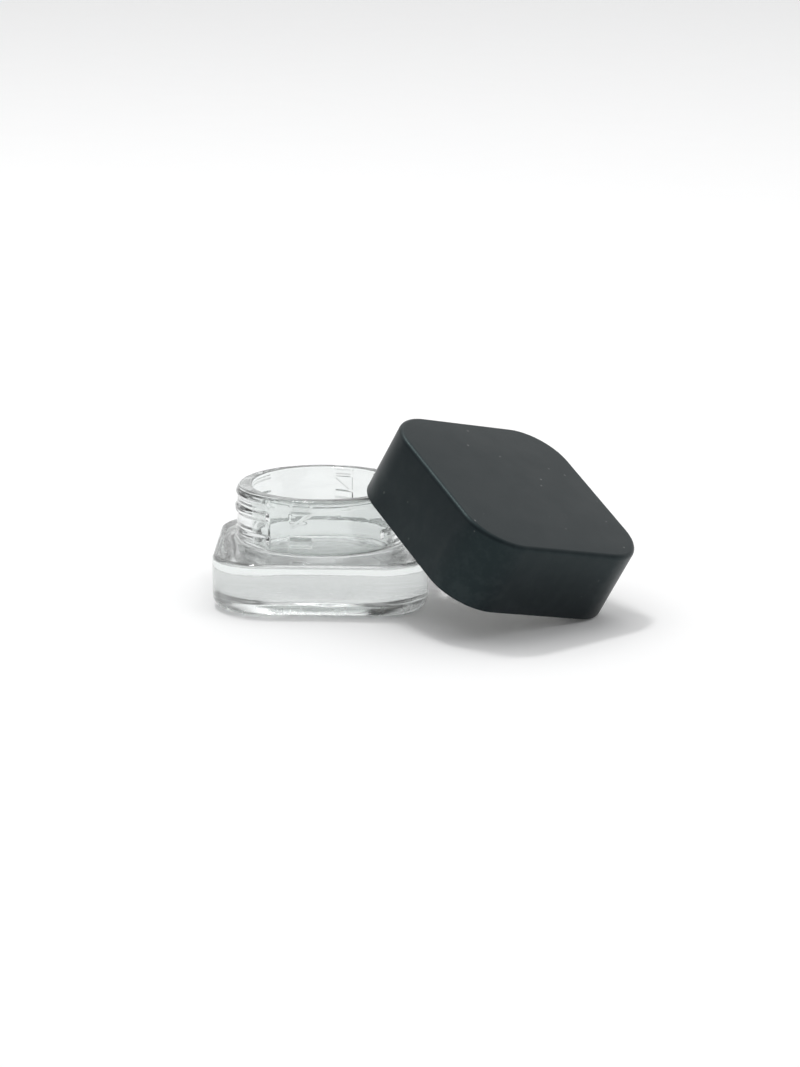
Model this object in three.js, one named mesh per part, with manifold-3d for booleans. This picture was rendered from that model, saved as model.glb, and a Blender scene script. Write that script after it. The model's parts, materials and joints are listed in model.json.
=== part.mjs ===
// A small square glass jar with a wide screw neck, open and empty, and its black
// push-and-turn cap lying beside it: one corner of the cap's rim stands on the table
// and the rim rests on the jar's lip.
//
// Millimetres, +Z up. The origin is the centre of the jar's flat base, and the jar's
// sides face along X and Y.

import * as THREE from 'three';
import { mergeVertices } from 'three/addons/utils/BufferGeometryUtils.js';
import Module from 'manifold-3d';

const wasm = await Module();
wasm.setup();

// Driving dimensions ---------------------------------------------------------------

const JAR_HEIGHT = 19.8;
const SHOULDER_HEIGHT = 9.9; // flat ledge that the neck rises from
const BASE_THICKNESS = 7.8; // solid glass under the well
const NECK_RADIUS = 15.3; // plain neck, between the thread turns
const NECK_WALL = 2.6;
const LIP_ROUND = 0.9;
const WELL_FILLET = 2.6;
const CORNER_RADIUS = 8.7; // the four upright corners, the same on jar and cap
const JAR_EDGE_ROUND = 2.0; // edge of the base and of the shoulder
const JAR_STEP = 0.15; // how far the jar's sides stand out past the cap's

const THREAD_DEPTH = 0.75;
const THREAD_PITCH = 4.23; // six turns to the inch
const THREAD_ROOT_WIDTH = 2.0;
const THREAD_CREST_WIDTH = 0.8;
const THREAD_TOP_START = 3.2; // centre of the thread's upper end, below the lip
const THREAD_LOW_END = 1.3; // centre of its lower end, above the shoulder
const THREAD_START_ANGLE = -96; // degrees, where the neck thread's upper end is
const THREAD_FADE_ANGLE = 14; // degrees that each end takes to run out
const THREAD_CLEARANCE = 0.3; // between each crest and the wall that faces it
const SEAM_ANGLE = 62.4; // degrees, one of the neck mould's two seams; the other is opposite
const SEAM_GAP = 17.8; // degrees of plain neck at each seam
const BREAK_ANGLE = 109.5; // degrees, the middle of the thread's longer breaks
const BREAK_GAP = 50; // degrees

const INSERT_WALL = 0.85;
const INSERT_PANEL = 1.1;
const INSERT_EDGE_CHAMFER = 0.5;
const LINER_THICKNESS = 0.8;
const LINER_EDGE_GAP = 0.35;
const SEAT_GAP = 0.1; // between faces that rest on each other

const SHELL_RUNNING_GAP = 0.3; // between the shell's socket and the threaded insert
const SHELL_MID_WALL = 1.35; // side wall at mid-face, where the socket comes nearest
const SHELL_SIDE_WALL = 1.3; // side wall beside the corner pockets
const SHELL_RING_THICKNESS = 1.2; // round wall between the socket and the pockets
const SHELL_TOP = 1.2;
const SHELL_EDGE_ROUND = 1.1;
const CORNER_RIB = 1.0;
const PRESS_TRAVEL = 1.3; // how far the shell goes down to engage the lugs
const PRESS_STOP_GAP = 0.3; // left between rim and shoulder with the cap pressed

const LUG_COUNT = 12;
const LUG_HEIGHT = 0.75;
const LUG_WIDTH = 1.6;
const LUG_LENGTH = 3.0;
const LUG_FREE_GAP = 0.85; // between the two rings of lugs with the cap released
const LUG_EDGE_SETBACK = 1.6; // from the insert's outer wall to the lugs

const CATCH_COUNT = 4;
const CATCH_HEIGHT = 0.75;
const CATCH_WIDTH = 4.0;
const CATCH_OVERHANG = 0.75; // how far each catch stands in from the socket wall
const CATCH_RIM_SETBACK = 0.3;
const CATCH_GAP = 0.25;

const SPRING_THICKNESS = 0.45;
const SPRING_HUB_RADIUS = 4.4;
const SPRING_KEY_RADIUS = 2.5; // to the corners of the insert's six-sided key
const SPRING_KEY_GAP = 0.2;
const SPRING_LEGS = 6;
const SPRING_LEG_WIDTH = 1.8;
const SPRING_TIP = 1.3; // flat end of each leg, against the shell
const SPRING_LUG_GAP = 1.0;

const LEAN_OVERLAP = 3.96; // how far the rim's high corner reaches in past the lip
const LEAN_AZIMUTH = -27; // degrees, the way that the cap's top leans
const LEAN_SPIN = -26.5; // degrees, the cap's own turn about its axis
const LEAN_SIDEWAYS = 2.3; // from the lean line through the jar's axis
const LEAN_GAP = 0.1; // between the rim and the lip

// Smoothness and tools' allowances ---------------------------------------------------

const ROUND_SEGMENTS = 48;
const CORNER_SEGMENTS = 7;
const EDGE_SEGMENTS = 3;
const FILLET_SEGMENTS = 4;
const SINK = 0.25; // how far a joined piece starts inside its neighbour
const PAST = 1; // how far a cutting shape runs past the face that it cuts

// Sizes that follow from them --------------------------------------------------------

const neckHeight = JAR_HEIGHT - SHOULDER_HEIGHT;
const mouthRadius = NECK_RADIUS - NECK_WALL;
const crestRadius = NECK_RADIUS + THREAD_DEPTH;

const insertBore = crestRadius + THREAD_CLEARANCE;
const insertCrest = NECK_RADIUS + THREAD_CLEARANCE;
const insertRadius = insertBore + INSERT_WALL;
const socketRadius = insertRadius + SHELL_RUNNING_GAP;
const capWidth = 2 * (socketRadius + SHELL_MID_WALL);
const jarWidth = capWidth + 2 * JAR_STEP;

// Heights inside the cap are above its rim.
const rimAboveShoulder = PRESS_TRAVEL + PRESS_STOP_GAP; // with the cap screwed on
const linerBottom = neckHeight - rimAboveShoulder;
const panelBottom = linerBottom + LINER_THICKNESS + SEAT_GAP;
const panelTop = panelBottom + INSERT_PANEL;
const shellUnderside = panelTop + 2 * LUG_HEIGHT + LUG_FREE_GAP;
const capHeight = shellUnderside + SHELL_TOP;
const skirtBottom = CATCH_RIM_SETBACK + CATCH_HEIGHT + CATCH_GAP;
const lugOuterRadius = insertRadius - LUG_EDGE_SETBACK;
const lugInnerRadius = lugOuterRadius - LUG_LENGTH;

const seatedRim = SHOULDER_HEIGHT + rimAboveShoulder; // on the jar, not above the rim

// The insert's thread lies half a pitch under the neck's when the cap is screwed on. It
// climbs to just under the liner, so it goes further round than the neck's upper end.
const neckThreadTop = JAR_HEIGHT - THREAD_TOP_START;
const insertThreadTop = linerBottom - THREAD_ROOT_WIDTH / 2 - SEAT_GAP;
const insertThreadLead = insertThreadTop - (neckThreadTop - seatedRim - THREAD_PITCH / 2);
const insertThreadAngle = THREAD_START_ANGLE + (360 * insertThreadLead) / THREAD_PITCH;

// Solids -------------------------------------------------------------------------------

/** A three.js geometry as a manifold solid, its shared vertices merged. */
function solid(geometry) {
  const bare = geometry.clone();
  bare.deleteAttribute('normal');
  bare.deleteAttribute('uv');
  const merged = mergeVertices(bare, 1e-4);
  return new wasm.Manifold(
    new wasm.Mesh({
      numProp: 3,
      vertProperties: merged.attributes.position.array,
      triVerts: merged.index.array,
    }),
  );
}

/** A manifold solid as a flat-shaded three.js geometry. */
function geometryOf(body) {
  const mesh = body.getMesh();
  const geometry = new THREE.BufferGeometry();
  geometry.setAttribute('position', new THREE.BufferAttribute(mesh.vertProperties, 3));
  geometry.setIndex(new THREE.BufferAttribute(mesh.triVerts, 1));
  geometry.computeVertexNormals();
  return geometry;
}

/** A full turn about Z of a profile given as [radius, height] points. */
function turned(profile) {
  const points = profile.map(([radius, height]) => new THREE.Vector2(radius, height));
  const geometry = new THREE.LatheGeometry(points, ROUND_SEGMENTS);
  return solid(geometry.rotateX(Math.PI / 2));
}

/** An upright cylinder between two heights. */
function cylinder(radius, low, high, sides = ROUND_SEGMENTS) {
  const geometry = new THREE.CylinderGeometry(radius, radius, high - low, sides);
  return solid(geometry.rotateX(Math.PI / 2).translate(0, 0, (low + high) / 2));
}

/** A box between two corners. */
function box([x0, y0, z0], [x1, y1, z1]) {
  const geometry = new THREE.BoxGeometry(x1 - x0, y1 - y0, z1 - z0);
  return solid(geometry.translate((x0 + x1) / 2, (y0 + y1) / 2, (z0 + z1) / 2));
}

/** The same solid copied evenly round Z. */
function ringOf(body, count, firstAngle = 0) {
  const step = 360 / count;
  const copies = Array.from({ length: count }, (_, i) => {
    return body.rotate([0, 0, firstAngle + i * step]);
  });
  return copies.reduce((whole, copy) => whole.add(copy));
}

/** Points [radius, height] along a round edge, between two angles in degrees. */
function arc(centreRadius, centreHeight, radius, fromAngle, toAngle) {
  return Array.from({ length: FILLET_SEGMENTS + 1 }, (_, i) => {
    const share = i / FILLET_SEGMENTS;
    const angle = THREE.MathUtils.degToRad(fromAngle + (toAngle - fromAngle) * share);
    return [centreRadius + radius * Math.cos(angle), centreHeight + radius * Math.sin(angle)];
  });
}

/** The outline of a square with round corners, centred on the origin. */
function roundedSquare(width, cornerRadius) {
  const flat = width / 2 - cornerRadius;
  const shape = new THREE.Shape();
  shape.absarc(flat, flat, cornerRadius, 0, Math.PI / 2);
  shape.absarc(-flat, flat, cornerRadius, Math.PI / 2, Math.PI);
  shape.absarc(-flat, -flat, cornerRadius, Math.PI, 1.5 * Math.PI);
  shape.absarc(flat, -flat, cornerRadius, 1.5 * Math.PI, 2 * Math.PI);
  return shape;
}

/** A square block with round corners and plain ends. */
function block(width, cornerRadius, low, high) {
  const geometry = new THREE.ExtrudeGeometry(roundedSquare(width, cornerRadius), {
    depth: high - low,
    bevelEnabled: false,
    curveSegments: CORNER_SEGMENTS,
  });
  return solid(geometry.translate(0, 0, low));
}

/** A square block with round corners whose end edges are rounded too. */
function softBlock(width, cornerRadius, low, high, edgeRound) {
  const geometry = new THREE.ExtrudeGeometry(roundedSquare(width, cornerRadius), {
    depth: high - low - 2 * edgeRound,
    bevelThickness: edgeRound,
    bevelSize: edgeRound,
    bevelOffset: -edgeRound,
    bevelSegments: EDGE_SEGMENTS,
    curveSegments: CORNER_SEGMENTS,
  });
  return solid(geometry.translate(0, 0, low + edgeRound));
}

/**
 * A right-hand thread of one lead, standing out, or in, from a wall at rootRadius. Its
 * centre line climbs from lowZ to highZ and ends at endAngle; both ends run out.
 */
function thread(rootRadius, ridgeRadius, lowZ, highZ, endAngle) {
  const outward = Math.sign(ridgeRadius - rootRadius);
  const depth = Math.abs(ridgeRadius - rootRadius);
  const rootHalf = THREAD_ROOT_WIDTH / 2;
  const crestHalf = THREAD_CREST_WIDTH / 2;
  const sunkHalf = rootHalf + ((rootHalf - crestHalf) * SINK) / depth;
  const section = new THREE.Shape([
    new THREE.Vector2(-SINK, -sunkHalf),
    new THREE.Vector2(depth, -crestHalf),
    new THREE.Vector2(depth, crestHalf),
    new THREE.Vector2(-SINK, sunkHalf),
  ]);
  const turns = (highZ - lowZ) / THREAD_PITCH;
  const fade = THREAD_FADE_ANGLE / 360 / turns;
  const geometry = new THREE.ExtrudeGeometry(section, {
    depth: 1,
    steps: Math.ceil(turns * ROUND_SEGMENTS),
    bevelEnabled: false,
  });
  // Each point of the straight bar is laid along the helix, and the crest goes down
  // into the wall at both ends.
  const position = geometry.attributes.position;
  for (let i = 0; i < position.count; i += 1) {
    const along = position.getZ(i);
    const rise = Math.min(1, Math.min(along, 1 - along) / fade);
    const crest = depth * rise - (SINK / 2) * (1 - rise);
    const stand = position.getX(i) < 0 ? -SINK : crest;
    const radius = rootRadius + outward * stand;
    const angle = THREE.MathUtils.degToRad(endAngle) - (1 - along) * turns * 2 * Math.PI;
    const height = lowZ + (highZ - lowZ) * along - outward * position.getY(i);
    position.setXYZ(i, radius * Math.cos(angle), radius * Math.sin(angle), height);
  }
  return solid(geometry);
}

/** A tall wedge round Z, to cut away what lies between two angles in degrees. */
function wedge(middleAngle, width, reach, low, high) {
  const points = [-0.5, 0, 0.5].map((share) => {
    const angle = THREE.MathUtils.degToRad(middleAngle + share * width);
    return new THREE.Vector2(reach * Math.cos(angle), reach * Math.sin(angle));
  });
  const shape = new THREE.Shape([new THREE.Vector2(0, 0), ...points]);
  const geometry = new THREE.ExtrudeGeometry(shape, { depth: high - low, bevelEnabled: false });
  return solid(geometry.translate(0, 0, low));
}

// Pieces -------------------------------------------------------------------------------

/** The jar: a thick square body, a round neck with its thread, and the well. */
function glassJar() {
  const body = softBlock(jarWidth, CORNER_RADIUS, 0, SHOULDER_HEIGHT, JAR_EDGE_ROUND);
  const lipCentre = JAR_HEIGHT - LIP_ROUND;
  const neck = turned([
    [0, BASE_THICKNESS],
    [NECK_RADIUS, BASE_THICKNESS],
    ...arc(NECK_RADIUS - LIP_ROUND, lipCentre, LIP_ROUND, 0, 90),
    [0, JAR_HEIGHT],
  ]);
  const filletCentre = BASE_THICKNESS + WELL_FILLET;
  const well = turned([
    [0, BASE_THICKNESS],
    ...arc(mouthRadius - WELL_FILLET, filletCentre, WELL_FILLET, -90, 0),
    [mouthRadius, JAR_HEIGHT + PAST],
    [0, JAR_HEIGHT + PAST],
  ]);
  const lowZ = SHOULDER_HEIGHT + THREAD_LOW_END;
  const ridge = thread(NECK_RADIUS, crestRadius, lowZ, neckThreadTop, THREAD_START_ANGLE);
  const reach = crestRadius * 2;
  const seam = wedge(SEAM_ANGLE, SEAM_GAP, reach, BASE_THICKNESS, JAR_HEIGHT);
  const longBreak = wedge(BREAK_ANGLE, BREAK_GAP, reach, BASE_THICKNESS, JAR_HEIGHT);
  const breaks = ringOf(seam.add(longBreak), 2);
  return body.add(neck).add(ridge.subtract(breaks)).subtract(well);
}

/** The cap's threaded insert: a skirt with an inside thread, and lugs and a key on top. */
function innerCap() {
  const skirt = turned([
    [0, panelBottom],
    [insertBore, panelBottom],
    [insertBore, skirtBottom],
    [insertRadius, skirtBottom],
    [insertRadius, panelTop - INSERT_EDGE_CHAMFER],
    [insertRadius - INSERT_EDGE_CHAMFER, panelTop],
    [0, panelTop],
  ]);
  const lowZ = skirtBottom + THREAD_ROOT_WIDTH / 2;
  const ridge = thread(insertBore, insertCrest, lowZ, insertThreadTop, insertThreadAngle);
  const lug = box(
    [lugInnerRadius, -LUG_WIDTH / 2, panelTop - SINK],
    [lugOuterRadius, LUG_WIDTH / 2, panelTop + LUG_HEIGHT],
  );
  const key = cylinder(SPRING_KEY_RADIUS, panelTop - SINK, panelTop + LUG_HEIGHT, 6);
  return skirt.add(ridge).add(ringOf(lug, LUG_COUNT, 180 / LUG_COUNT)).add(key);
}

/** The foam disc that seals on the lip. */
function liner() {
  return cylinder(insertBore - LINER_EDGE_GAP, linerBottom, linerBottom + LINER_THICKNESS);
}

/** The spider spring that holds the shell up off the insert, keyed to the insert. */
function springDisc() {
  const hubBottom = panelTop + SEAT_GAP;
  const hubTop = hubBottom + SPRING_THICKNESS;
  const tipTop = shellUnderside - SEAT_GAP;
  const tipBottom = tipTop - SPRING_THICKNESS;
  const tipRadius = lugInnerRadius - SPRING_LUG_GAP;
  const hub = cylinder(SPRING_HUB_RADIUS, hubBottom, hubTop);
  const key = cylinder(SPRING_KEY_RADIUS + SPRING_KEY_GAP, hubBottom - PAST, hubTop + PAST, 6);
  const legStart = SPRING_HUB_RADIUS - SINK * 2;
  const side = new THREE.Shape([
    new THREE.Vector2(legStart, hubBottom),
    new THREE.Vector2(tipRadius - SPRING_TIP, tipBottom),
    new THREE.Vector2(tipRadius, tipBottom),
    new THREE.Vector2(tipRadius, tipTop),
    new THREE.Vector2(tipRadius - SPRING_TIP, tipTop),
    new THREE.Vector2(legStart, hubTop),
  ]);
  const strip = new THREE.ExtrudeGeometry(side, { depth: SPRING_LEG_WIDTH, bevelEnabled: false });
  const leg = solid(strip.rotateX(Math.PI / 2).translate(0, SPRING_LEG_WIDTH / 2, 0));
  return hub.add(ringOf(leg, SPRING_LEGS)).subtract(key);
}

/** The square outer shell: top, sides, round socket, corner ribs, lugs and catches. */
function outerShell() {
  const half = capWidth / 2;
  const tail = SHELL_EDGE_ROUND + PAST; // spare length with the lower rounding, cut off
  const raised = softBlock(capWidth, CORNER_RADIUS, -tail, capHeight, SHELL_EDGE_ROUND);
  const belowRim = box([-half - PAST, -half - PAST, -tail - PAST], [half + PAST, half + PAST, 0]);
  const socket = cylinder(socketRadius, -PAST, shellUnderside);
  const ring = cylinder(socketRadius + SHELL_RING_THICKNESS, -PAST * 2, shellUnderside + PAST);
  const innerWidth = capWidth - 2 * SHELL_SIDE_WALL;
  const innerCorner = CORNER_RADIUS - SHELL_SIDE_WALL;
  const rib = box([-capWidth, -CORNER_RIB / 2, -PAST * 2],
    [capWidth, CORNER_RIB / 2, shellUnderside + PAST]);
  const corners = block(innerWidth, innerCorner, -PAST, shellUnderside)
    .subtract(ring)
    .subtract(ringOf(rib, 2, 45));
  const lug = box(
    [lugInnerRadius, -LUG_WIDTH / 2, shellUnderside - LUG_HEIGHT],
    [lugOuterRadius, LUG_WIDTH / 2, shellUnderside + SINK],
  );
  const hold = box(
    [socketRadius - CATCH_OVERHANG, -CATCH_WIDTH / 2, CATCH_RIM_SETBACK],
    [socketRadius + SINK * 2, CATCH_WIDTH / 2, CATCH_RIM_SETBACK + CATCH_HEIGHT],
  );
  return raised
    .subtract(belowRim)
    .subtract(socket)
    .subtract(corners)
    .add(ringOf(lug, LUG_COUNT))
    .add(ringOf(hold, CATCH_COUNT));
}

// Assembly -----------------------------------------------------------------------------

const clearGlass = { color: 0xe4eae8, roughness: 0.02, metalness: 0, transparent: true, opacity: 0.4 };
const blackPlastic = { color: 0x17191a, roughness: 0.5, metalness: 0 };
const insertPlastic = { color: 0x202223, roughness: 0.45, metalness: 0 };
const springPlastic = { color: 0xd9dad6, roughness: 0.4, metalness: 0 };
const whiteFoam = { color: 0xf1f0ea, roughness: 0.9, metalness: 0 };

function piece(name, body, look) {
  const mesh = new THREE.Mesh(geometryOf(body), new THREE.MeshStandardMaterial(look));
  mesh.name = name;
  return mesh;
}

/** Puts the cap's lowest rim point on the table and its rim plane on the lip. */
function leaningCap() {
  const azimuth = THREE.MathUtils.degToRad(LEAN_AZIMUTH);
  const spin = THREE.MathUtils.degToRad(LEAN_SPIN);
  const cornerCentre = capWidth / 2 - CORNER_RADIUS;
  const reach = cornerCentre * (Math.abs(Math.cos(spin)) + Math.abs(Math.sin(spin))) + CORNER_RADIUS;
  const slope = 2 * reach - LEAN_OVERLAP; // along the rim, from the table to the lip
  const lipCentre = JAR_HEIGHT - LIP_ROUND;
  const stand = LIP_ROUND + LEAN_GAP; // from the lip's round centre to the rim plane
  const tilt = Math.asin(lipCentre / Math.hypot(slope, stand)) + Math.atan2(stand, slope);
  const rimHeight = reach * Math.sin(tilt);
  const lipSupport = (NECK_RADIUS - LIP_ROUND) * Math.sin(tilt) + lipCentre * Math.cos(tilt);
  const away = (lipSupport + stand - rimHeight * Math.cos(tilt)) / Math.sin(tilt);

  const spun = new THREE.Group();
  spun.rotation.z = spin;
  const tilted = new THREE.Group();
  tilted.rotation.y = tilt;
  tilted.add(spun);
  const leaning = new THREE.Group();
  leaning.rotation.z = azimuth;
  leaning.position.set(
    away * Math.cos(azimuth) - LEAN_SIDEWAYS * Math.sin(azimuth),
    away * Math.sin(azimuth) + LEAN_SIDEWAYS * Math.cos(azimuth),
    rimHeight,
  );
  leaning.add(tilted);

  spun.add(piece('outer_shell', outerShell(), blackPlastic));
  spun.add(piece('spring_disc', springDisc(), springPlastic));
  spun.add(piece('inner_cap', innerCap(), insertPlastic));
  spun.add(piece('liner', liner(), whiteFoam));
  return leaning;
}

const group = new THREE.Group();
group.add(piece('glass_jar', glassJar(), clearGlass));
group.add(leaningCap());

export default group;
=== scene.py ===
# A small square glass jar, open and empty, with its black push-and-turn cap leaning on
# it. Shapes are worked out in millimetres and turned into metres as each mesh is made.
import json
import math

import bmesh
import bpy
from mathutils import Matrix, Vector, noise


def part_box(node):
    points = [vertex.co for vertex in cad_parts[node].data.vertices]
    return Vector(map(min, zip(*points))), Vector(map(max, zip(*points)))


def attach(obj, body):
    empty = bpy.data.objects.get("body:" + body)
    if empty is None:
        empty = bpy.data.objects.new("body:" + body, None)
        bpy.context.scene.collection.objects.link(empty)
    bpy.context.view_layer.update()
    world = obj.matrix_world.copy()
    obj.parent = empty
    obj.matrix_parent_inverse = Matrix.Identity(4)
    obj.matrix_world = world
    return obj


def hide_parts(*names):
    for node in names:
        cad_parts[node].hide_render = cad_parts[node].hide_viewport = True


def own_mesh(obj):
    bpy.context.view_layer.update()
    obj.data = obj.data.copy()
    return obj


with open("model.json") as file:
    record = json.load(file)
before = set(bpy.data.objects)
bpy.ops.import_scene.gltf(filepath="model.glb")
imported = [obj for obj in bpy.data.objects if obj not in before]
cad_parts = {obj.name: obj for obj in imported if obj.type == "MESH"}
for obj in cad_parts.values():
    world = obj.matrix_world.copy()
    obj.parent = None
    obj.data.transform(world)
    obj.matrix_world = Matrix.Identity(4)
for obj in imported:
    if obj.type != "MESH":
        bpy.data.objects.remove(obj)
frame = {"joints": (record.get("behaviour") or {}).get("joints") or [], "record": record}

MM = 0.001
TAU = 2 * math.pi
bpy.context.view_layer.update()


# Sizes from the frame ------------------------------------------------------------------


def mm(vector):
    return Vector(vector) / MM


def record_mount(name):
    return next(m for m in frame["record"]["mounts"] if m["name"] == name)


def frame_joint(name):
    return next(j for j in frame["joints"] if j["name"] == name)


jar_high = mm(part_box("glass_jar")[1])
JAR_HALF = jar_high.x
JAR_HEIGHT = jar_high.z

cap_axis = Vector(frame_joint("insert_turn")["axis"]).normalized()
rim_centre = mm(frame_joint("insert_turn")["pos_m"])
CAP_HEIGHT = (mm(record_mount("cap_top")["pos_m"]) - rim_centre).dot(cap_axis)
PRESS_TRAVEL = frame_joint("press_travel")["range_m"][1] / MM

# The design's own sizes -----------------------------------------------------------------

CORNER_RADIUS = 8.7
BASE_ROUND = 2.0
SHOULDER_ROUND = (1.25, 0.75)  # in from the side, and down from the shoulder
SHOULDER_EDGE = 9.35
SHOULDER_ROOT = 9.85
SEATED_RIM = 10.2  # how high the rim of the screwed-down, pressed cap is above the table
NECK_RADIUS = 15.3
NECK_ROOT_FILLET = 0.7
MOUTH_RADIUS = 12.7
LIP_OUTER_ROUND = 0.9
LIP_INNER_ROUND = 0.55
BASE_THICKNESS = 7.8
WELL_FILLET = 2.6

THREAD_DEPTH = 0.75
THREAD_SHOWN = 0.36  # how far the neck's worn-down pressed thread stands out
THREAD_PITCH = 4.23
THREAD_TOP = JAR_HEIGHT - 3.2
THREAD_TURNS = 1.28
THREAD_START = -96.0  # degrees, where the neck thread's upper end is
THREAD_ROOT_HALF = 1.0
THREAD_CREST_HALF = 0.35
THREAD_FADE = 14.0  # degrees
THREAD_GAP = 0.1  # between the insert's thread and the liner above it

CAP_SPIN = -26.5  # degrees, the cap's own turn about its axis
CAP_HALF = 18.85
CAP_TOP_THICKNESS = 1.2
CAP_EDGE_ROUND = 0.85
SIDE_WALL = 1.3
SOCKET_RADIUS = 17.5
SOCKET_WALL = 1.2
SHELL_UNDERSIDE = CAP_HEIGHT - CAP_TOP_THICKNESS
INSERT_RADIUS = 17.2
INSERT_BORE = 16.35
INSERT_SKIRT_BOTTOM = 1.3
LINER_BOTTOM = 8.3
LINER_THICKNESS = 0.8
PANEL_BOTTOM = 9.2
PANEL_TOP = 10.3
LUG_HEIGHT = 0.75
LUG_INNER = 12.6
LUG_OUTER = 15.6
SPRING_GAP = 0.1  # between the spring and the mouldings above and below it


def cap_matrix():
    """The cap's own frame, rim centre at the origin and +Z out of its top."""
    tilt = math.acos(cap_axis.z)
    azimuth = math.atan2(cap_axis.y, cap_axis.x)
    turn = Matrix.Rotation(azimuth, 4, "Z") @ Matrix.Rotation(tilt, 4, "Y")
    return Matrix.Translation(rim_centre) @ turn @ Matrix.Rotation(math.radians(CAP_SPIN), 4, "Z")


CAP_FRAME = cap_matrix()


# Mesh making ----------------------------------------------------------------------------


def smoothstep(low, high, value):
    share = min(1.0, max(0.0, (value - low) / (high - low)))
    return share * share * (3 - 2 * share)


def object_from(name, bm, material, place=Matrix.Identity(4), sharp_angle=None):
    """Turns a millimetre bmesh into a piece in metres, in the row frame."""
    bmesh.ops.transform(bm, matrix=Matrix.Scale(MM, 4) @ place, verts=bm.verts)
    bmesh.ops.recalc_face_normals(bm, faces=bm.faces)
    mesh = bpy.data.meshes.new(name)
    bm.to_mesh(mesh)
    bm.free()
    mesh.materials.append(material)
    mesh.polygons.foreach_set("use_smooth", [True] * len(mesh.polygons))
    if sharp_angle is not None:
        mesh.set_sharp_from_angle(angle=math.radians(sharp_angle))
    piece = bpy.data.objects.new(name, mesh)
    bpy.context.scene.collection.objects.link(piece)
    return piece


def skin(bm, rings, close_start=True, close_end=True, joined=False):
    """Quads between rings of points that all have the same count."""
    loops = [[bm.verts.new(point) for point in ring] for ring in rings]
    pairs = list(zip(loops, loops[1:]))
    if joined:
        pairs.append((loops[-1], loops[0]))
    for low, high in pairs:
        count = len(low)
        for i in range(count):
            j = (i + 1) % count
            bm.faces.new((low[i], low[j], high[j], high[i]))
    for ring, wanted in ((loops[0], close_start), (loops[-1], close_end)):
        if wanted and not joined:
            centre = bm.verts.new(sum((v.co for v in ring), Vector()) / len(ring))
            for i in range(len(ring)):
                bm.faces.new((ring[i], ring[(i + 1) % len(ring)], centre))
    return loops


def square_reach(angle, half, corner):
    """How far a square with round corners reaches from its centre at an angle."""
    c, s = abs(math.cos(angle)), abs(math.sin(angle))
    flat = half - corner
    side = half / max(c, s)
    if min(c, s) * side <= flat:
        return side
    along = flat * (c + s)
    return along + math.sqrt(max(0.0, along * along - 2 * flat * flat + corner * corner))


def square_ring(half, corner, height, count):
    ring = []
    for i in range(count):
        angle = TAU * i / count
        reach = square_reach(angle, half, corner)
        ring.append(Vector((reach * math.cos(angle), reach * math.sin(angle), height)))
    return ring


def round_ring(radius, height, count):
    return [
        Vector((radius * math.cos(TAU * i / count), radius * math.sin(TAU * i / count), height))
        for i in range(count)
    ]


def arc_points(centre, radius, start, end, steps):
    """Points (radius, height) on an arc between two angles in degrees."""
    points = []
    for i in range(steps + 1):
        angle = math.radians(start + (end - start) * i / steps)
        points.append((centre[0] + radius * math.cos(angle), centre[1] + radius * math.sin(angle)))
    return points


def line_points(start, end, steps):
    return [
        (start[0] + (end[0] - start[0]) * i / steps, start[1] + (end[1] - start[1]) * i / steps)
        for i in range(1, steps)
    ]


def thread_rise(angle, height, top, start, turns):
    """How far a one-lead right-hand thread stands out at a point, as a share of its depth."""
    best = 0.0
    first = (math.radians(start) - angle) % TAU
    for lap in range(int(turns) + 2):
        along = (first + lap * TAU) / TAU
        if along > turns:
            break
        centre = top - THREAD_PITCH * along
        flank = 1 - smoothstep(THREAD_CREST_HALF, THREAD_ROOT_HALF, abs(height - centre))
        fade = THREAD_FADE / 360
        end = smoothstep(0, fade, along) * smoothstep(0, fade, turns - along)
        best = max(best, flank * end)
    return best


# The jar ---------------------------------------------------------------------------------

JAR_COUNT = 360
SEAM_ANGLES = (62.4, -117.6)  # degrees, where the two halves of the neck mould meet
SEAM_PANEL_HALF = 8.9  # degrees of plain neck each side of a seam
BREAK_ANGLES = (109.5, -70.5)  # degrees, the middles of the thread's longer breaks
BREAK_HALF = 25.0
GLASS_WAVE = 0.012
WAVE_SEED = 7
PUNT_DEPTH = 2.0  # the hollow under the base
PUNT_INSET = 2.3  # from the jar's side to the hollow's edge
PUNT_SLOPE = 1.9  # how far in the hollow's side slopes
HEEL_LINE = 2.1  # height of the fold that the base plate of the mould leaves
HEEL_FOLD = 0.12  # how deep the fold is
HEEL_RIPPLE = 0.07
SEAM_FIN = 0.16  # how far the edges of a seam panel stand out
LIP_BEAD = 0.22
LIP_BEAD_HEIGHT = 18.5
LIP_BEAD_WIDTH = 0.38
START_RAMP = (14.9, 17.8)  # low and high edges of each thread's blunt start
START_RAMP_LENGTH = 13.0  # degrees


def angle_off(angle, degrees):
    """Degrees between an angle in radians and a direction in degrees."""
    return abs((math.degrees(angle) - degrees + 180) % 360 - 180)


def plain_share(angle, middles, half):
    """1 where the neck is plain near one of the middles, 0 well away from them."""
    nearest = min(angle_off(angle, middle) for middle in middles)
    return 1 - smoothstep(half - 0.7, half + 0.7, nearest)


def start_ramp(angle, height):
    """The blunt start of the thread beside each seam: level on top, ramped below."""
    best = 0.0
    for seam in SEAM_ANGLES:
        past = (math.degrees(angle) - (seam + SEAM_PANEL_HALF) + 180) % 360 - 180
        share = past / START_RAMP_LENGTH
        if not 0 <= share <= 1:
            continue
        low = START_RAMP[0] + (START_RAMP[1] - 0.3 - START_RAMP[0]) * share
        up = smoothstep(low - 0.3, low + 0.3, height)
        down = 1 - smoothstep(START_RAMP[1] - 0.3, START_RAMP[1] + 0.2, height)
        best = max(best, up * down * smoothstep(0, 0.06, share))
    return best


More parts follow.
